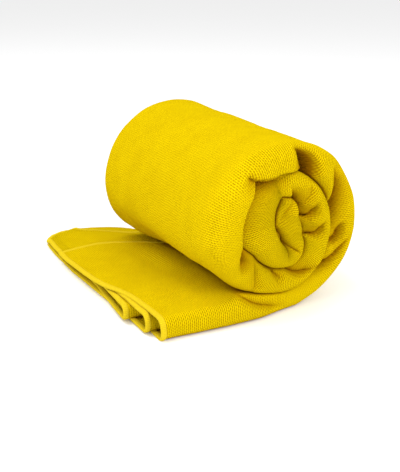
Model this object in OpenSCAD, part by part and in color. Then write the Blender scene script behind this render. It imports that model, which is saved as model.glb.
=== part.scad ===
// Rolled microfibre towel.
// The cloth is folded into six layers and rolled up, and its outer end lies open beside the
// roll. X runs across the roll, away from the open end, Y runs along the roll's axis from its
// near end to its far end, and Z is up. The origin is on the resting surface, under the middle
// of the whole object.

/* [Roll] */
// Diameter of the roll
roll_d = 158; // [120:1:200]
// Length of the roll, which is the width of the folded cloth
roll_len = 230; // [200:1:280]
// How far the roll's own weight flattens its underside
roll_sink = 3; // [1:0.5:6]
// Air between one turn and the next
turn_gap = 0.8; // [0.4:0.1:2]

/* [Open end] */
// Reach of the open end, from under the roll's axis to its far corner
open_reach = 138; // [110:1:200]
// How much less the near corner reaches
near_setback = 23; // [0:1:40]
// How far the open end spreads past the far end of the roll
open_spread = 57; // [20:1:80]
// Height of the folded layers at the near fold
stack_near = 20; // [16:0.5:30]
// Height of the folded layers at the far edge
stack_far = 7; // [6:0.5:12]
// Width of the top layer at the open end
top_layer_w = 206; // [150:1:220]
// Radius of the far corner
corner_r = 16; // [5:1:25]

/* [Cloth] */
// Thickness of one layer of cloth
cloth_t = 2.5; // [1.5:0.1:4]
// Width of the overlocked edging
edging_w = 5; // [3:0.5:8]

/* [Hidden] */

roll_r = roll_d / 2;
axis_z = roll_r - roll_sink;
open_w = roll_len + open_spread;
axis_x = (open_reach - roll_r) / 2;
near_y = -open_w / 2;

// The winding's outer radius at each quarter turn, as a share of the roll's radius. The first
// is straight below the axis, and the winding then runs up the side away from the open end.
// Every fourth share is a full turn further in, so it is also the inner side of the turn before.
turn_share = [1, 1, 1, 1, 0.83, 0.62, 0.62, 0.64, 0.54, 0.3, 0.29, 0.28, 0.22, 0.05, 0.03, 0.02, 0.02];
last_quarter = 11.5;
step_a = 6;
arc_step = 15;
inner_end_a = last_quarter * 90;
inner_edging_a = 18;
core_r = 1.5;

// The edging of the top layer comes nearer the near fold where it runs in under the roll, and
// there it lies on the inner side of every turn.
top_edging_drift = 22;
top_edging_y = top_layer_w - top_edging_drift;
// The second layer's edging runs along the far edge, and lies one layer deeper in the roll.
far_edging_y = roll_len - edging_w;
// Corner of the far edge, where it turns in towards the roll
shoulder_x = 92;
overcut = 1;
cloth_yellow = [0.93, 0.82, 0.05];
thread_yellow = [0.98, 0.90, 0.15];

function eased(t) = (1 - cos(180 * t)) / 2;

// Radius of the winding's outer side at an angle, counted from straight below the axis
function outer_r(a) =
    let (q = a / 90, i = min(floor(q), len(turn_share) - 2), t = min(q - i, 1))
    roll_r * (turn_share[i] + (turn_share[i + 1] - turn_share[i]) * eased(t));

// Radius of the winding's inner side at the same angle
function inner_r(a) = max(outer_r(a + 360) + turn_gap, core_r);

function spot(r, a) = [r * sin(a), axis_z - r * cos(a)];

// Outline of one stretch of the winding, between two depths from its inner side
function winding(a0, a1, depth0, depth1) = concat(
    [for (a = [a0 : step_a : a1]) spot(min(inner_r(a) + depth1, outer_r(a)), a)],
    [for (a = [a1 : -step_a : a0]) spot(inner_r(a) + depth0, a)]
);

module place() translate([axis_x, near_y, 0]) children();

// Carries an outline drawn across the roll to a stretch of its length
module along_roll(y0, y1) {
    translate([0, y1, 0])
        rotate([90, 0, 0])
            linear_extrude(y1 - y0)
                children();
}

module above_floor() {
    intersection() {
        children();
        translate([-open_reach - overcut, -overcut, 0])
            cube([open_reach + roll_d, open_w + 2 * overcut, roll_d + overcut]);
    }
}

// Plan of the open end, from under the roll's axis out to its edge, less a margin all round
module open_plan(end_margin = 0, far_margin = 0) {
    tip = [-open_reach + corner_r + end_margin, open_w - corner_r - far_margin];
    polygon(concat(
        [[0, 0], [-open_reach + near_setback + end_margin, 0]],
        [for (a = [180 : -arc_step : 90]) tip + corner_r * [cos(a), sin(a)]],
        [[-shoulder_x, open_w - far_margin], [0, roll_len - far_margin]]
    ));
}

// Height of the layers at a distance from the near fold, less a depth from the top
module stack_section(depth = 0) {
    r = stack_near / 2;
    step_h = stack_far + cloth_t;
    polygon(concat(
        [for (a = [270 : -arc_step : 90]) [r + r * cos(a), r + (r - depth) * sin(a)]],
        [[top_layer_w, step_h - depth], [top_layer_w, stack_far - depth]],
        [[open_w + overcut, stack_far - depth], [open_w + overcut, 0]]
    ));
}

// The stack of layers over a plan, with its section carried along X
module stack_over(depth = 0) {
    intersection() {
        linear_extrude(stack_near + overcut)
            children();
        translate([-open_reach - overcut, 0, 0])
            rotate([90, 0, 90])
                linear_extrude(open_reach + 2 * overcut)
                    stack_section(depth);
    }
}

module end_strip() {
    difference() {
        open_plan();
        open_plan(end_margin = edging_w);
    }
}

// The top layer's edge on the open end, from the end edging to under the roll's axis
module top_edge_line() {
    x0 = -open_reach + edging_w;
    polygon([
        [x0, top_layer_w - edging_w], [x0, top_layer_w],
        [0, top_edging_y + edging_w], [0, top_edging_y]
    ]);
}

module far_strip() {
    intersection() {
        difference() {
            open_plan(end_margin = edging_w);
            open_plan(end_margin = edging_w, far_margin = edging_w);
        }
        translate([-open_reach, top_layer_w + overcut])
            square([open_reach, open_w]);
    }
}

module outer_end_edging() {
    color(thread_yellow)
        place()
            stack_over()
                end_strip();
}

module inner_end_edging() {
    color(thread_yellow)
        place()
            along_roll(0, roll_len)
                polygon(winding(inner_end_a - inner_edging_a, inner_end_a, 0, roll_r));
}

module top_side_edging() {
    color(thread_yellow)
        place()
            union() {
                difference() {
                    stack_over()
                        top_edge_line();
                    stack_over(cloth_t)
                        top_edge_line();
                }
                along_roll(top_edging_y, top_edging_y + edging_w)
                    polygon(winding(0, inner_end_a - inner_edging_a, 0, cloth_t));
            }
}

module far_side_edging() {
    color(thread_yellow)
        place()
            union() {
                difference() {
                    stack_over()
                        far_strip();
                    stack_over(cloth_t)
                        far_strip();
                }
                along_roll(far_edging_y, roll_len)
                    polygon(winding(0, inner_end_a - inner_edging_a, cloth_t, 2 * cloth_t));
            }
}

module towel_cloth() {
    color(cloth_yellow)
        difference() {
            place()
                above_floor()
                    union() {
                        stack_over()
                            open_plan(end_margin = edging_w);
                        along_roll(0, roll_len)
                            polygon(winding(0, inner_end_a - inner_edging_a, 0, roll_r));
                    }
            top_side_edging();
            far_side_edging();
        }
}

towel_cloth();
outer_end_edging();
inner_end_edging();
top_side_edging();
far_side_edging();
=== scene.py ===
"""A yellow microfibre towel, folded into six layers and rolled up, with its outer end lying open.

Lengths in the shape tables are millimetres and angles are degrees. Across the roll, x and z are
counted from the floor under the roll's axis. Along the roll, y is counted from its near end.
An angle along the winding starts straight below the axis and runs up the side that is away from
the open end, so a full turn further in is 360 degrees more.

A station is one line of points across the folded cloth. The stations follow each other along the
towel, from its outer end. A station's share is 0 at the open end's edge and 1 from under the
roll's axis onwards.
"""

import bmesh
import bpy
import numpy as np
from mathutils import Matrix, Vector


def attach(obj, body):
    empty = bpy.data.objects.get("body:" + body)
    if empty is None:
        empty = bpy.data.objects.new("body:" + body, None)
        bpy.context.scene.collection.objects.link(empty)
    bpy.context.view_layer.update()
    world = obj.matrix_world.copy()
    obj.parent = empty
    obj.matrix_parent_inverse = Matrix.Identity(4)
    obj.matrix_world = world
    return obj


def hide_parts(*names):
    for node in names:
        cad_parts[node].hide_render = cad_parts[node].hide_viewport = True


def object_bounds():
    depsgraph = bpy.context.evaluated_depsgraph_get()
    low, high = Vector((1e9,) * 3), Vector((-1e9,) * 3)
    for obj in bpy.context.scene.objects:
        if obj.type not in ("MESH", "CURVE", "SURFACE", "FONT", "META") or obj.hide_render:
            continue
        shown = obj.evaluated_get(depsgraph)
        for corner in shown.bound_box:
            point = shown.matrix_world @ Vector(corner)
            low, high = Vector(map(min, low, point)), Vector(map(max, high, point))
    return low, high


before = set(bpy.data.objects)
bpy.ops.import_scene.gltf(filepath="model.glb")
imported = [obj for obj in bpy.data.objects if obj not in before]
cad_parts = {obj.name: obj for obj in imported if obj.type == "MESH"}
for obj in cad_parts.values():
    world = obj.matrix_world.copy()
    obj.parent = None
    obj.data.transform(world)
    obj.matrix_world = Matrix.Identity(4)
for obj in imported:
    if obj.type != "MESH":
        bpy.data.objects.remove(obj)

MM = 0.001
FULL_TURN = 2 * np.pi

cad_box = [list(corner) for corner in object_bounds()]
cad_lo = Vector(cad_box[0]) / MM
cad_hi = Vector(cad_box[1]) / MM


# ---------------------------------------------------------------- camera

CAMERA_LENS = 67.18
CAMERA_PLACE = (-0.3024, -0.6413, 0.2936)
CAMERA_VIEW = (0.4236, 0.8368, -0.3469)


def make_camera():
    camera = bpy.data.objects.new("camera", bpy.data.cameras.new("camera"))
    camera.data.sensor_width = 36
    camera.data.sensor_fit = "HORIZONTAL"
    camera.data.lens = CAMERA_LENS
    camera.location = CAMERA_PLACE
    camera.rotation_euler = Vector(CAMERA_VIEW).to_track_quat("-Z", "Y").to_euler()
    bpy.context.scene.collection.objects.link(camera)
    bpy.context.scene.camera = camera


# ---------------------------------------------------------------- sizes

# How far the roll's own weight flattens its underside
SINK = 3
ROLL_R = (cad_hi.z + SINK) / 2
AXIS_X = cad_hi.x - ROLL_R
AXIS_Z = ROLL_R - SINK
NEAR_Y = cad_lo.y
# The roll's radius in the seam tables, which are scaled from it
TABLE_R = 79

LAYERS = 6
CLOTH = 1.7
LAYER_STEP = 1.9
STATION_STEP = 1.6
END_ANGLE = 907

# The cloth's way through its layers, from the top one's edge to the far edge: each layer, counted
# from the floor, and its number of points
LAYER_RUNS = [(5, 16), (0, 36), (3, 6), (2, 6), (1, 6), (4, 14)]
# The outermost near fold comes after the first of them: its number of points, and how square it is
OUTER_FOLD_POINTS = 30
FULLNESS = 0.85
# The folds after the others: how far each bulges towards the far end, and its number of points
INNER_FOLDS = [(4, 7), (-4, 5), (3, 4), (-7, 8)]
# The point of a station that is at the front of the outermost near fold
NEAR_FRONT = LAYER_RUNS[0][1] + OUTER_FOLD_POINTS // 2 - 1

# The seam between one turn and the next, where it shows on the near end face: angle, radius.
# It keeps to the roll's outside, steps in under the open end, bulges at the rim's corner, and
# then closes on the tongue.
NEAR_SEAM = [
    (0, 79), (270, 79), (300, 66), (340, 57), (400, 55), (430, 50), (480, 50), (500, 53),
    (560, 56), (570, 62), (580, 53), (620, 45), (660, 32), (740, 33), (760, 30), (800, 18),
    (850, 19), (875, 30), (910, 32),
]
# The innermost turn is a tongue of cloth that doubles back on itself. Its middle line runs from
# its top down to its foot, bowed towards the open end, and up again to its top.
TONGUE_TOP = 106
TONGUE_FOOT = 65
TONGUE_BOW = 8
TONGUE_START = END_ANGLE - 360
# The same seam deep in the roll and at its far end, where the turns are more even
FAR_SEAM = [
    (0, 79), (130, 79), (180, 78), (255, 77.5), (285, 79), (300, 79.5), (315, 78), (335, 71),
    (345, 66), (360, 62), (400, 60), (450, 58), (540, 56), (600, 50), (660, 44), (720, 42),
    (780, 38), (860, 34), (910, 32), (1000, 22), (1080, 16), (1180, 9), (1270, 5),
]
# Each turn's near fold: angle, y of its front, how deep its front lies (0 on the turn's inner side,
# 1 on its outer side), and how far back it reaches on its outer side and on its inner side
FOLD_FRONT = 1
FOLD_DEPTH = 2
FOLD_OUTER = 3
FOLD_INNER = 4
NEAR_FOLD = [
    (-55, -1, 0.5, 9, 8), (-40, -4, 0.5, 9, 6), (-20, -4, 0.5, 9, 6), (0, 3, 0.5, 9, 6),
    (20, 6, 0.5, 10, 8), (40, 3, 0.5, 10, 12), (60, -1, 0.5, 11, 12), (90, -1, 0.5, 11, 12),
    (125, -2, 0.5, 12, 12), (145, -5, 0.3, 14, 10), (165, -9, 0.1, 18, 8), (215, -11, 0.1, 26, 6),
    (270, -10, 0.1, 30, 6), (310, -2, 0.3, 16, 8), (340, -3, 0.4, 10, 10), (400, -4, 0.5, 9, 12),
    (450, -5, 0.5, 12, 12), (500, -4, 0.5, 12, 12), (525, -1, 0.4, 14, 10), (545, 1, 0.4, 18, 8),
    (600, 1, 0.4, 18, 6), (660, -6, 0.4, 14, 10), (720, -6, 0.5, 12, 10), (810, -6, 0.5, 10, 8),
    (880, -2, 0.5, 8, 6), (910, 12, 0.5, 8, 6),
]
# How far the other two near folds lie behind the outermost one: in the roll, and how much more at
# the open end, where they fan out
SECOND_FOLD = (9, 14)
THIRD_FOLD = (10, 39)
# The share at which the fan has closed is one over this
FAN_RATE = 1.15
# How much of the near folds' shift along the roll its far end follows
FAR_FOLLOW = 0.3

# Height of the open end's layers, from the near fold to the far edge: y, z
STACK_H = 21.5
STACK_TOP = [(0, STACK_H), (60, STACK_H), (120, 16), (200, 12.5), (240, 11), (290, 10.8)]
EDGE_TOP = 7.2
# How far the open end's top swells beside the roll
SWELL = 5
# Edges of the open end: share, y
TOP_EDGE = [(0, 203), (0.05, 206), (0.3, 213), (0.45, 208), (0.6, 197), (0.75, 180), (1, 178)]
FAR_EDGE = [
    (0, 282), (0.05, 289), (0.1, 291), (0.2, 289), (0.3, 280), (0.45, 270), (0.6, 254),
    (0.7, 240), (0.85, 229), (1, 228),
]
FAR_FOLD = [
    (0, 255), (0.15, 281), (0.25, 291), (0.4, 287), (0.55, 280), (0.65, 269), (0.75, 250),
    (0.9, 233), (1, 231),
]
# Where the open end's layers stop: y, x
TOP_END = [(0, -116), (40, -119), (60, -122), (80, -128), (100, -133), (130, -136), (180, -139)]
SECOND_END = [
    (20, -122), (80, -125), (110, -130), (150, -133), (200, -137), (240, -138), (260, -137),
    (270, -134), (280, -128), (290, -116),
]
THIRD_END = [(50, -130), (110, -128), (155, -124), (200, -129)]
BOTTOM_END = [(0, -115), (60, -117), (120, -122), (200, -130)]
LAYER_END = [BOTTOM_END, SECOND_END, THIRD_END, THIRD_END, SECOND_END, TOP_END]
# The y at which the open end's stations are spaced
MIDDLE_Y = 150

# Creases on the near end face. Each is one curve, from its deep end towards a bend and on to its
# shallow end: the angles of the winding that it is in, its depth, the width of its slope on the
# left and on the right of the way it runs, and then those three points as x, z.
CREASES = [
    (-60, 40, 8, 5, 2, (-48, 30), (-24, 6), (14, 6)),
    (-10, 75, 14, 4, 1.5, (46, 38), (26, 30), (6, 20)),
    (0, 300, 16, 5, 1.5, (40, 34), (60, 36), (76, 68)),
    (0, 300, 18, 4.5, 1.5, (55, 57), (64, 60), (64, 82)),
    (0, 300, 30, 1.5, 6, (46, 80), (58, 104), (44, 134)),
    (0, 300, 40, 9, 2, (26, 122), (30, 142), (0, 151)),
    (180, 250, 10, 7, 1.5, (-28, 128), (-36, 130), (-44, 134)),
    (240, 345, 18, 8, 2, (-40, 76), (-44, 58), (-38, 42)),
    (240, 400, 5, 5, 3, (-26, 30), (-27, 45), (-28, 60)),
    (300, 400, 4, 4, 2, (-14, 48), (-6, 36), (-4, 25)),
    (500, 620, 9, 2, 7, (-22, 122), (-8, 120), (8, 130)),
    (540, 705, 13, 6, 2, (-24, 122), (-50, 88), (-38, 70)),
    (300, 400, 6, 5, 2, (-8, 40), (-4, 36), (0, 32)),
    (340, 545, 12, 8, 2, (6, 40), (20, 28), (42, 42)),
    (400, 545, 12, 7, 1.5, (22, 86), (34, 86), (32, 104)),
    (400, 545, 12, 7, 1.5, (26, 70), (42, 66), (40, 88)),
    (400, 545, 4, 6, 2, (24, 104), (30, 112), (24, 120)),
    (400, 545, 13, 1.5, 6, (14, 96), (16, 102), (4, 120)),
    (720, 910, 5, 5, 2, (14, 106), (-2, 100), (-8, 80)),
    (720, 910, 8, 3, 1.5, (-6, 80), (4, 64), (-2, 48)),
    (720, 910, 6, 3, 1.5, (2, 66), (10, 60), (18, 54)),
]
CURVE_POINTS = 7
# How far along the roll a crease's push fades by a factor of e, before its own depth is added
CREASE_REACH = 35
# A soft dent in the top of the open end: its depth, its width, and the x, y that it runs between
DENT_DEPTH = 1.6
DENT_WIDTH = 9
DENT_LINE = [(-69, 160), (-66, 104)]
# Slow unevenness of the cloth: wavelength, size
RIPPLES = [(95, 0.35), (60, 0.25), (34, 0.2), (21, 0.12)]
WAVES_PER_RIPPLE = 4


# ---------------------------------------------------------------- lines and blends

def eased(t):
    """Goes smoothly from 0 to 1 as t does."""
    t = np.clip(t, 0, 1)
    return t * t * (3 - 2 * t)


def blend(one, other, share):
    return one * (1 - share) + other * share


def within(angle, first, last, fade=8):
    """1 between two angles, fading to 0 at each, for each station."""
    return (eased((angle - first) / fade) * eased((last - angle) / fade))[:, None]


def along(points, where, blur=0.0):
    """Values of a line drawn through points, with its corners rounded over blur."""
    xs, ys = np.array(points, float).T
    if not blur:
        return np.interp(where, xs, ys)
    offsets = np.linspace(-2, 2, 17)
    weights = np.exp(-offsets ** 2)
    weights /= weights.sum()
    return sum(w * np.interp(where + o * blur, xs, ys) for o, w in zip(offsets, weights))


def curve(start, bend, end):
    """Points along a curve that leaves its start towards a bend and comes to its end from there."""
    t = np.linspace(0, 1, CURVE_POINTS)[:, None]
    return (1 - t) ** 2 * np.array(start) + 2 * t * (1 - t) * np.array(bend) + t ** 2 * np.array(end)


def nearest(x, y, line):
    """For each point: its distance from a line of straight stretches, whether it is on the left of
    the way the line runs, and how far along the line it is, from 0 to 1."""
    distance = np.full(x.shape, 1e9)
    left = np.zeros(x.shape, bool)
    way = np.zeros(x.shape)
    for index, ((x0, y0), (x1, y1)) in enumerate(zip(line, line[1:])):
        dx = x1 - x0
        dy = y1 - y0
        t = np.clip(((x - x0) * dx + (y - y0) * dy) / (dx * dx + dy * dy), 0, 1)
        here = np.hypot(x - x0 - t * dx, y - y0 - t * dy)
        closer = here < distance
        left = np.where(closer, dx * (y - y0) - dy * (x - x0) > 0, left)
        way = np.where(closer, (index + t) / (len(line) - 1), way)
        distance = np.where(closer, here, distance)
    return distance, left, way


# ---------------------------------------------------------------- the winding

def seam(angle, table):
    """A side of the winding, flattened where it lies on the floor."""
    radius = along(table, angle, 5) * ROLL_R / TABLE_R
    floor_r = AXIS_Z / np.maximum(np.cos(np.radians(np.minimum(angle, 90))), 0.1)
    radius = np.minimum(radius, floor_r)
    a = np.radians(angle)
    return np.stack([radius * np.sin(a), AXIS_Z - radius * np.cos(a)], -1)


def tongue_line(angle):
    """The tongue's middle line, which is the innermost turn's inner side."""
    turn = np.radians(angle - TONGUE_START)
    x = -TONGUE_BOW * np.sin(turn) ** 2
    z = (TONGUE_TOP + TONGUE_FOOT) / 2 + (TONGUE_TOP - TONGUE_FOOT) / 2 * np.cos(turn)
    return np.stack([x, z], -1)


def winding_angles():
    """Angles of the stations along the winding, at even steps of its outer side."""
    fine = np.arange(0, END_ANGLE + 0.5, 0.5)
    radius = along(FAR_SEAM, fine)
    run = np.concatenate([[0], np.cumsum(np.radians(0.5) * radius[1:])])
    count = int(run[-1] / STATION_STEP)
    return np.interp(np.linspace(0, run[-1], count), run, fine)


def far_weight(angle, y, height):
    """How much a point of the winding follows the far seam. It changes at a pace of its own up the
    roll's side, down its flank, over the open end and inside the roll."""
    weight = eased(y / 40)
    weight = blend(weight, eased((y - 60) / 200), eased((angle - 275) / 25)[:, None])
    weight = blend(weight, np.clip((STACK_H - height) / 7.5, 0, 1), eased((angle - 320) / 30)[:, None])
    return blend(weight, eased((y - 30) / 90), eased((angle - 400) / 60)[:, None])


def winding_side(angle, y, height, innermost=False):
    """One side of the winding, from its near seam to its far seam."""
    angle = np.maximum(angle, 0)
    near = seam(angle, NEAR_SEAM)
    if innermost:
        swap = eased((angle - END_ANGLE + 10) / 20)[:, None]
        near = blend(near, tongue_line(angle - 360), swap)
    far = seam(angle, FAR_SEAM)
    return blend(near[:, None], far[:, None], far_weight(angle, y, height)[..., None])


# ---------------------------------------------------------------- the fold across the cloth

def near_fold(angle, column):
    table = [(row[0], row[column]) for row in NEAR_FOLD]
    return along(table, angle, 8)


def outer_fold(angle):
    """The outermost near fold, as two quarters of rounded squares that meet at its front: the y of
    its points, and how far each is from the top layer to the bottom one."""
    front = near_fold(angle, FOLD_FRONT)[:, None]
    depth = near_fold(angle, FOLD_DEPTH)[:, None]
    around = np.linspace(0, 1, OUTER_FOLD_POINTS + 2)[1:-1] * np.pi
    inner = around < np.pi / 2
    back = np.where(inner, near_fold(angle, FOLD_INNER)[:, None], near_fold(angle, FOLD_OUTER)[:, None])
    y = front + back * (1 - np.sin(around) ** FULLNESS)
    side = np.abs(np.cos(around)) ** FULLNESS
    return y, np.where(inner, depth * (1 - side), depth + (1 - depth) * side)


def inner_fold(start, bulge, count):
    """A round fold that starts and ends at the same y."""
    around = np.linspace(0, np.pi, count + 2)[1:-1]
    y = start[:, None] + bulge * np.sin(around)
    return y, np.broadcast_to((1 - np.cos(around)) / 2, y.shape)


def layer_ends(share, angle):
    """The y at which each layer starts and stops, in the order of LAYER_RUNS."""
    front = near_fold(angle, FOLD_FRONT)
    shift = np.where(share < 1, 0, FAR_FOLLOW * (front - near_fold(np.array([0.0]), FOLD_FRONT)))
    fan = 1 - eased(share * FAN_RATE)
    near_out = front + near_fold(angle, FOLD_OUTER)
    near_in = front + near_fold(angle, FOLD_INNER)
    near_2 = front + SECOND_FOLD[0] + SECOND_FOLD[1] * fan
    near_3 = front + THIRD_FOLD[0] + THIRD_FOLD[1] * fan
    far_out = along(FAR_FOLD, share, 0.03) + shift - 4
    far_in = np.minimum(far_out + 1, along(FAR_EDGE, share, 0.03) + shift - 20 * fan - 3)
    top = along(TOP_EDGE, share, 0.02) + shift
    far = along(FAR_EDGE, share, 0.02) + shift
    return [
        (top, near_in), (near_out, far_out), (far_out, near_3),
        (near_3, far_in), (far_in, near_2), (near_2, far),
    ]


def fold_path(share, angle):
    """The folded cloth's way through its layers at each station: the y of its points, the two
    layers that each lies between, and how far it is from one to the other."""
    stretches = []
    for index, (y0, y1) in enumerate(layer_ends(share, angle)):
        layer, count = LAYER_RUNS[index]
        step = np.linspace(0, 1, count)
        step = step - 0.6 * np.sin(FULL_TURN * step) / FULL_TURN
        y = y0[:, None] + (y1 - y0)[:, None] * step
        stretches.append((y, layer, layer, np.zeros(y.shape)))
        if index < LAYERS - 1:
            y, part = inner_fold(y1, *INNER_FOLDS[index - 1]) if index else outer_fold(angle)
            stretches.append((y, layer, LAYER_RUNS[index + 1][0], part))
    ys, first, second, mix = zip(*stretches)
    counts = [y.shape[1] for y in ys]
    return np.concatenate(ys, 1), np.repeat(first, counts), np.repeat(second, counts), np.concatenate(mix, 1)


def between(values, first, second, mix):
    """Blends the values of two layers, where values has one array for each layer."""
    values = np.stack(values)
    columns = np.arange(len(first))
    return blend(values[first, :, columns].T, values[second, :, columns].T, mix)


# ---------------------------------------------------------------- the towel's points

def wound_cloth(angle, y, height, layers):
    """The cloth's x and z in the roll, and the room between each turn's two sides."""
    outer = winding_side(angle, y, height)
    inner = winding_side(angle + 360, y, height, innermost=True)
    room = np.maximum(np.linalg.norm(inner - outer, axis=-1), 1)
    spread = [(CLOTH / 2 + k * (room - CLOTH) / (LAYERS - 1)) / room for k in range(LAYERS)]
    return blend(outer, inner, between(spread, *layers)[..., None]), room


def open_top(share, y, height, room, flat):
    """Height of the open end's top, which sags at the far edge and swells beside the roll."""
    top = blend(height, room, flat)
    sag = eased((y - along(FAR_EDGE, share, 0.03)[:, None] + 26) / 18) * (1 - flat)
    top = blend(top, EDGE_TOP, sag)
    x = along(TOP_END, MIDDLE_Y) * (1 - share)[:, None]
    return top + SWELL * eased((x + 75) / 35) * eased((200 - y) / 60) * (1 - flat)


def open_cloth(share, y, height, room, layers):
    """The cloth's x and z in the open end. Its lower layers lie on the floor and its upper ones
    hang from its top, until they even out towards the roll."""
    flat = eased((share - 0.55) / 0.45)[:, None]
    top = open_top(share, y, height, room, flat)
    drop = eased((y - along(FAR_FOLD, share, 0.03)[:, None] + 4) / 16)
    heights = []
    for k in range(LAYERS):
        if k < LAYERS // 2:
            tight = CLOTH / 2 + k * LAYER_STEP
        else:
            tight = top - CLOTH / 2 - (LAYERS - 1 - k) * LAYER_STEP
        if k == LAYER_RUNS[-1][0]:
            tight = blend(tight, CLOTH / 2 + 0.6, drop)
        even = CLOTH / 2 + k * (top - CLOTH) / (LAYERS - 1)
        heights.append(blend(tight, even, flat))
    reach = between([along(line, y, 8) for line in LAYER_END], *layers)
    return np.stack([reach * (1 - share[:, None]), between(heights, *layers)], -1)


def towel_points():
    """The cloth's points, each station's angle, its way along the towel, and each point's way
    across the cloth from the near fold's front."""
    angles = winding_angles()
    open_length = -along(TOP_END, MIDDLE_Y)
    open_share = np.linspace(0, 1, int(open_length / STATION_STEP))[:-1]
    share = np.concatenate([open_share, np.ones(len(angles))])
    open_angle = np.degrees(np.arctan2(-open_length * (1 - open_share), AXIS_Z))
    angle = np.concatenate([open_angle, angles])

    y, *layers = fold_path(share, angle)
    height = along(STACK_TOP, y, 15)
    wound, room = wound_cloth(angle, y, height, layers)
    opened = open_cloth(share, y, height, room[len(open_share)], layers)
    xz = np.where((share < 1)[:, None, None], opened, wound)
    points = np.stack([xz[..., 0], y, xz[..., 1]], -1)

    arcs = np.radians(np.diff(angles)) * along(FAR_SEAM, angles)[1:]
    run = np.concatenate([open_length * open_share, [open_length], open_length + np.cumsum(arcs)])
    steps = np.linalg.norm(np.diff(points, axis=1), axis=2)
    across = np.concatenate([np.zeros((len(points), 1)), np.cumsum(steps, axis=1)], 1)
    return points, angle, run, across - across[:, NEAR_FRONT:NEAR_FRONT + 1]


def crease(points, angle):
    """Pushes the near end face in along its creases, and tells how far each point went."""
    x, y, z = np.moveaxis(points, -1, 0)
    push = np.zeros(x.shape)
    for first, last, depth, left_width, right_width, start, bend, end in CREASES:
        distance, left, way = nearest(x, z, curve(start, bend, end))
        slope = np.exp(-distance / np.where(left, left_width, right_width))
        push += depth * within(angle, first, last) * slope * (1 - eased((way - 0.5) / 0.5))
    # Creases fade out at the floor and over the open end
    push *= eased((z - 3) / 6) * eased((x + 62) / 20)
    push *= np.exp(-np.maximum(y, 0) / (CREASE_REACH + push))
    moved = points.copy()
    moved[..., 1] += push
    return moved, push


def dent(points):
    """Presses the open end's layers down along its dent, the upper ones most."""
    x, y, z = np.moveaxis(points, -1, 0)
    distance, _, _ = nearest(x, y, DENT_LINE)
    moved = points.copy()
    moved[..., 2] -= DENT_DEPTH * np.exp(-(distance / DENT_WIDTH) ** 2) * np.clip(z / 16, 0, 1) * (z < 24)
    return moved


def ripple(points):
    """Slow unevenness of soft cloth. It varies smoothly in space, so layers stay apart."""
    rng = np.random.default_rng(7)
    shift = np.zeros_like(points)
    for wave, size in RIPPLES:
        for _ in range(WAVES_PER_RIPPLE):
            heading = rng.normal(size=3)
            heading *= FULL_TURN / wave / np.linalg.norm(heading)
            way = rng.normal(size=3)
            way /= np.linalg.norm(way)
            shift += size * way * np.sin(points @ heading + rng.uniform(0, FULL_TURN))[..., None]
    shift[..., 2] *= np.clip(points[..., 2] / 12, 0, 1)
    moved = points + shift
    moved[..., 2] = np.maximum(moved[..., 2], CLOTH / 2)
    return moved


def to_row(points):
    """From the tables' millimetres to the row's frame, in metres."""
    return (points + np.array([AXIS_X, NEAR_Y, 0])) * MM


# ---------------------------------------------------------------- meshes

def new_object(name, verts, faces, uv=None):
    mesh = bpy.data.meshes.new(name)
    mesh.from_pydata(verts.tolist(), [], faces.tolist())
    if uv is not None:
        layer = mesh.uv_layers.new(name="UVMap")
        corner = np.zeros(len(mesh.loops), np.int32)
        mesh.loops.foreach_get("vertex_index", corner)
        layer.data.foreach_set("uv", uv[corner].astype(np.float32).ravel())
    mesh.polygons.foreach_set("use_smooth", np.ones(len(mesh.polygons), bool))
    obj = bpy.data.objects.new(name, mesh)
    bpy.context.scene.collection.objects.link(obj)
    return obj


def grid_faces(rows, columns, closed=False):
    sides = columns if closed else columns - 1
    row, column = np.meshgrid(np.arange(rows - 1), np.arange(sides), indexing="ij")
    after = (column + 1) % columns
    here = row * columns
    there = here + columns
    quads = [here + column, here + after, there + after, there + column]
    return np.stack(quads, -1).reshape(-1, 4)


def keep_value(obj, name, values):
    """Gives the mesh a value at each point, which its material reads."""
    layer = obj.data.attributes.new(name, "FLOAT", "POINT")
    layer.data.foreach_set("value", values.astype(np.float32).ravel())


def ruffled_share(points, angle):
    """How ruffled the loops are: 1 on the near end face, less on its rim, and 0 along the roll."""
    rim = eased((angle - 190) / 40) * eased((325 - angle) / 30)
    return eased((6 - points[..., 1]) / 8) * (1 - 0.7 * rim)[:, None]


def make_cloth(points, angle, run, across, push):
    uv = np.stack([across, np.broadcast_to(run[:, None], across.shape)], -1).reshape(-1, 2) * MM
    verts = to_row(points).reshape(-1, 3)
    cloth = new_object("towel_sheet", verts, grid_faces(*across.shape), uv)
    # The material paints shade into the creases from this depth: the deeper a point was pushed, the darker
    keep_value(cloth, "crease_depth", push)
    keep_value(cloth, "ruffled", ruffled_share(points, angle))
    solidify = cloth.modifiers.new("thickness", "SOLIDIFY")
    solidify.thickness = CLOTH * MM
    solidify.offset = 0
    return cloth


# The overlock edging: its width, its thickness, the way around it in its UV map, how far it stands
# out past the cloth's edge, the length of one stitch, and how much each stitch stands out
EDGING_W = 5.2
EDGING_T = 3.0
EDGING_GIRTH = 12
EDGING_LAP = 0.7
STITCH = 1.4
STITCH_RIDGE = 0.13
RINGS_PER_STITCH = 3
RING_POINTS = 12
SQUARENESS = 0.7


def unit(vectors):
    return vectors / np.maximum(np.linalg.norm(vectors, axis=-1, keepdims=True), 1e-9)


def squared(wave):
    return np.sign(wave) * np.abs(wave) ** SQUARENESS


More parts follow.
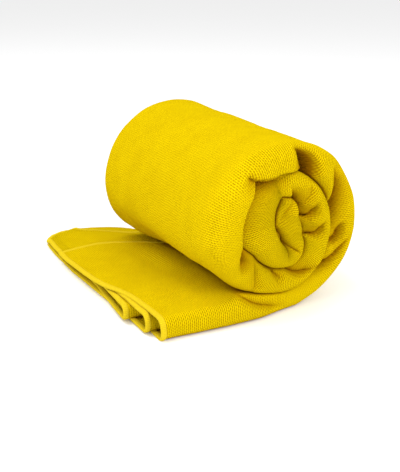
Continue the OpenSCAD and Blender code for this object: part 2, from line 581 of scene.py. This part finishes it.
def make_edging(name, line, inward):
    """A band of dense thread wrapped over the edge of the cloth, and lying flat on the floor."""
    run = np.concatenate([[0], np.cumsum(np.linalg.norm(np.diff(line, axis=0), axis=1))])
    at = np.arange(0, run[-1], STITCH / RINGS_PER_STITCH)
    centre = np.stack([np.interp(at, run, line[:, k]) for k in range(3)], 1)
    into = unit(np.stack([np.interp(at, run, inward[:, k]) for k in range(3)], 1))
    tangent = unit(np.gradient(centre, axis=0))
    normal = unit(np.cross(tangent, into))
    into = np.cross(normal, tangent)
    centre = centre + into * (EDGING_W / 2 - EDGING_LAP)
    centre[:, 2] = np.maximum(centre[:, 2], EDGING_T / 2)

    around = np.linspace(0, FULL_TURN, RING_POINTS, endpoint=False)
    wide = squared(np.cos(around)) * EDGING_W / 2
    ridge = 1 + STITCH_RIDGE * np.cos(FULL_TURN * at / STITCH)
    high = squared(np.sin(around)) * ridge[:, None] * EDGING_T / 2
    rings = centre[:, None] + into[:, None] * wide[None, :, None] + normal[:, None] * high[..., None]
    rings[..., 2] = np.maximum(rings[..., 2], 0)

    faces = grid_faces(len(at), RING_POINTS, closed=True)
    uv = np.stack(np.meshgrid(around / FULL_TURN * EDGING_GIRTH, at), -1).reshape(-1, 2) * MM
    edging = new_object(name, to_row(rings).reshape(-1, 3), faces, uv)
    cap_ends(edging, len(at))
    return edging


def cap_ends(edging, rings):
    mesh = bmesh.new()
    mesh.from_mesh(edging.data)
    mesh.verts.ensure_lookup_table()
    last = (rings - 1) * RING_POINTS
    mesh.faces.new([mesh.verts[i] for i in range(RING_POINTS)])
    mesh.faces.new([mesh.verts[last + i] for i in reversed(range(RING_POINTS))])
    bmesh.ops.recalc_face_normals(mesh, faces=mesh.faces)
    mesh.to_mesh(edging.data)
    mesh.free()


# ---------------------------------------------------------------- materials

# Width of one rib and length of one loop, in metres
RIB = 0.0021
LOOP = 0.0025
# Depth in millimetres at which a crease's painted shade is as dark as it gets
CREASE_SHADE_DEPTH = 12.0
# How near other cloth must be for painted shade on the cloth, in metres
SHADE_REACH = 0.005

TERRY_LOW = (0.41, 0.245, 0.0004, 1)
TERRY_HIGH = (0.75, 0.56, 0.0014, 1)
# Painted shade: the colour of the creases' floors, and the colour where other cloth is near
TERRY_CREASE_SHADE = (0.36, 0.17, 0.0003, 1)
TERRY_NEAR_CLOTH_SHADE = (0.36, 0.16, 0.0002, 1)
TERRY_SHEEN = (1.0, 0.78, 0.02, 1)
THREAD_LOW = (0.5, 0.33, 0.004, 1)
THREAD_HIGH = (0.66, 0.51, 0.015, 1)
THREAD_SHEEN = (1.0, 0.9, 0.2, 1)


class Nodes:
    """Short calls for building a material's node tree."""

    def __init__(self, name):
        self.material = bpy.data.materials.new(name)
        self.material.use_nodes = True
        self.tree = self.material.node_tree
        self.shader = self.tree.nodes["Principled BSDF"]

    def node(self, kind, **settings):
        node = self.tree.nodes.new(kind)
        for key, value in settings.items():
            setattr(node, key, value)
        return node

    def plug(self, value, socket):
        if isinstance(value, bpy.types.NodeSocket):
            self.tree.links.new(value, socket)
        else:
            socket.default_value = value

    def math(self, operation, *values):
        node = self.node("ShaderNodeMath", operation=operation)
        for value, socket in zip(values, node.inputs):
            self.plug(value, socket)
        return node.outputs[0]

    def wave(self, turns):
        """Swings between 1 and -1, once in each whole turn."""
        return self.math("COSINE", self.math("MULTIPLY", turns, FULL_TURN))

    def noise(self, vector, scale, detail=2.0):
        node = self.node("ShaderNodeTexNoise")
        self.plug(vector, node.inputs["Vector"])
        node.inputs["Scale"].default_value = scale
        node.inputs["Detail"].default_value = detail
        return node.outputs["Fac"]

    def swing(self, noise, size):
        """Noise that swings to both sides of 0."""
        return self.math("MULTIPLY", self.math("SUBTRACT", noise, 0.5), size)

    def value(self, name):
        """A value that the mesh keeps at each point."""
        return self.node("ShaderNodeAttribute", attribute_name=name).outputs["Fac"]

    def mix(self, factor, one, other):
        node = self.node("ShaderNodeMix", data_type="RGBA")
        self.plug(factor, node.inputs[0])
        self.plug(one, node.inputs[6])
        self.plug(other, node.inputs[7])
        return node.outputs[2]

    def open_share(self, reach):
        """1 on open cloth, falling to 0 where other cloth is near. It is the mask for painted shade from
        ambient occlusion.
        """
        node = self.node("ShaderNodeAmbientOcclusion", samples=8)
        node.inputs["Distance"].default_value = reach
        share = self.math("MULTIPLY_ADD", node.outputs["AO"], 1.6, -0.2)
        return self.math("MINIMUM", self.math("MAXIMUM", share, 0.0), 1.0)

    def bump(self, height, strength, distance):
        node = self.node("ShaderNodeBump")
        node.inputs["Strength"].default_value = strength
        node.inputs["Distance"].default_value = distance
        self.plug(height, node.inputs["Height"])
        self.plug(node.outputs[0], self.shader.inputs["Normal"])


def cloth_finish(nodes, sheen_tint):
    shader = nodes.shader.inputs
    shader["Roughness"].default_value = 0.95
    shader["Specular IOR Level"].default_value = 0.0
    shader["Sheen Weight"].default_value = 0.08
    shader["Sheen Roughness"].default_value = 0.5
    shader["Sheen Tint"].default_value = sheen_tint


def terry_height(n, place):
    """Ribs of small loops, each rib's half a loop further on than the last, with fine fuzz."""
    uv = n.node("ShaderNodeSeparateXYZ")
    n.plug(place.outputs["UV"], uv.inputs[0])
    wobble = n.swing(n.noise(place.outputs["UV"], 60), 0.5)
    row = n.math("ADD", n.math("DIVIDE", uv.outputs["Y"], RIB), wobble)
    stray = n.math("MULTIPLY", n.noise(place.outputs["UV"], 260), 0.6)
    stagger = n.math("MULTIPLY_ADD", n.math("FLOOR", row), 0.5, stray)
    loop = n.math("ADD", n.math("DIVIDE", uv.outputs["X"], LOOP), stagger)
    ribs = n.math("MULTIPLY", n.wave(row), 0.65)
    loops = n.math("MULTIPLY", n.wave(loop), 0.35)
    fuzz = n.swing(n.noise(place.outputs["Object"], 900, 3), 1.2)
    return n.math("ADD", n.math("ADD", ribs, loops), fuzz)


def terry_material():
    """Ribbed microfibre. Its ribs run along the fold of the cloth, and it is darker low between
    the loops. Shade is painted into its colour down in the creases and where other cloth is near."""
    n = Nodes("ribbed_microfibre")
    place = n.node("ShaderNodeTexCoord")
    height = terry_height(n, place)
    ruffled = n.value("ruffled")
    tone = n.math("MULTIPLY_ADD", height, n.math("MULTIPLY_ADD", ruffled, 1.2, 0.2), 0.56)
    tone = n.math("ADD", tone, n.swing(n.noise(place.outputs["Object"], 45), 0.3))
    # Painted shade in the creases, darker with their depth
    crease_shade = n.math("MINIMUM", n.math("DIVIDE", n.value("crease_depth"), CREASE_SHADE_DEPTH), 1.0)
    colour = n.mix(tone, TERRY_LOW, TERRY_HIGH)
    colour = n.mix(crease_shade, colour, TERRY_CREASE_SHADE)
    # Painted shade from ambient occlusion, where other cloth is near
    colour = n.mix(n.open_share(SHADE_REACH), TERRY_NEAR_CLOTH_SHADE, colour)
    n.plug(colour, n.shader.inputs["Base Color"])
    relief = n.math("MULTIPLY", height, n.math("MULTIPLY_ADD", ruffled, 0.3, 0.7))
    n.bump(relief, 1.0, 0.0005)
    cloth_finish(n, TERRY_SHEEN)
    return n.material


def thread_material():
    """Overlock thread, with one strand for each stitch."""
    n = Nodes("overlock_thread")
    place = n.node("ShaderNodeTexCoord")
    uv = n.node("ShaderNodeSeparateXYZ")
    n.plug(place.outputs["UV"], uv.inputs[0])
    strand = n.wave(n.math("DIVIDE", uv.outputs["Y"], STITCH * MM))
    fuzz = n.noise(place.outputs["Object"], 1200, 2)
    tone = n.math("MULTIPLY_ADD", strand, 0.2, n.math("MULTIPLY", fuzz, 1.2))
    n.plug(n.mix(tone, THREAD_LOW, THREAD_HIGH), n.shader.inputs["Base Color"])
    n.bump(n.math("MULTIPLY_ADD", strand, 0.5, fuzz), 0.4, 0.0003)
    cloth_finish(n, THREAD_SHEEN)
    return n.material


# ---------------------------------------------------------------- floor and light

FLOOR_HALF = 6
WORLD_STRENGTH = 0.9
LAMP_SIZE = 1.0
# Each softbox's name, place in metres and power in watts. All of them point at the origin.
SOFTBOXES = [
    ("side", (-1.3, -0.4, 0.95), 4),
    ("front", (0.15, -1.4, 1.0), 16),
    ("top", (-0.7, 0.2, 1.75), 15),
]


def make_floor():
    corners = [(-1, -1, 0), (1, -1, 0), (1, 1, 0), (-1, 1, 0)]
    floor = new_object("floor", np.array(corners, float) * FLOOR_HALF, np.array([[0, 1, 2, 3]]))
    n = Nodes("white_floor")
    n.shader.inputs["Base Color"].default_value = (0.95, 0.95, 0.95, 1)
    n.shader.inputs["Roughness"].default_value = 1
    n.shader.inputs["Specular IOR Level"].default_value = 0
    floor.data.materials.append(n.material)


def make_softbox(name, place, power):
    lamp = bpy.data.lights.new(name, "AREA")
    lamp.shape = "DISK"
    lamp.size = LAMP_SIZE
    lamp.energy = power
    light = bpy.data.objects.new(name, lamp)
    light.location = place
    light.rotation_euler = (-light.location).to_track_quat("-Z", "Y").to_euler()
    bpy.context.scene.collection.objects.link(light)


def make_world():
    world = bpy.data.worlds.new("studio")
    world.use_nodes = True
    background = world.node_tree.nodes["Background"].inputs
    background["Color"].default_value = (1, 1, 1, 1)
    background["Strength"].default_value = WORLD_STRENGTH
    bpy.context.scene.world = world


# ---------------------------------------------------------------- building the scene

make_camera()

points, angle, run, across = towel_points()
points, push = crease(points, angle)
points = ripple(dent(points))
cloth = make_cloth(points, angle, run, across, push)
edgings = {
    "outer_end_edging": make_edging("outer_end_hem", points[0], points[1] - points[0]),
    "inner_end_edging": make_edging("inner_end_hem", points[-1], points[-2] - points[-1]),
    "top_side_edging": make_edging("top_side_hem", points[:, 0], points[:, 1] - points[:, 0]),
    "far_side_edging": make_edging("far_side_hem", points[:, -1], points[:, -2] - points[:, -1]),
}

cloth.data.materials.append(terry_material())
thread = thread_material()
for hem in edgings.values():
    hem.data.materials.append(thread)

make_floor()
make_world()
for softbox in SOFTBOXES:
    make_softbox(*softbox)
bpy.context.scene.view_settings.view_transform = "Standard"

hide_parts("towel_cloth")
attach(cloth, "root")
for node, hem in edgings.items():
    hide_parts(node)
    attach(hem, "root")
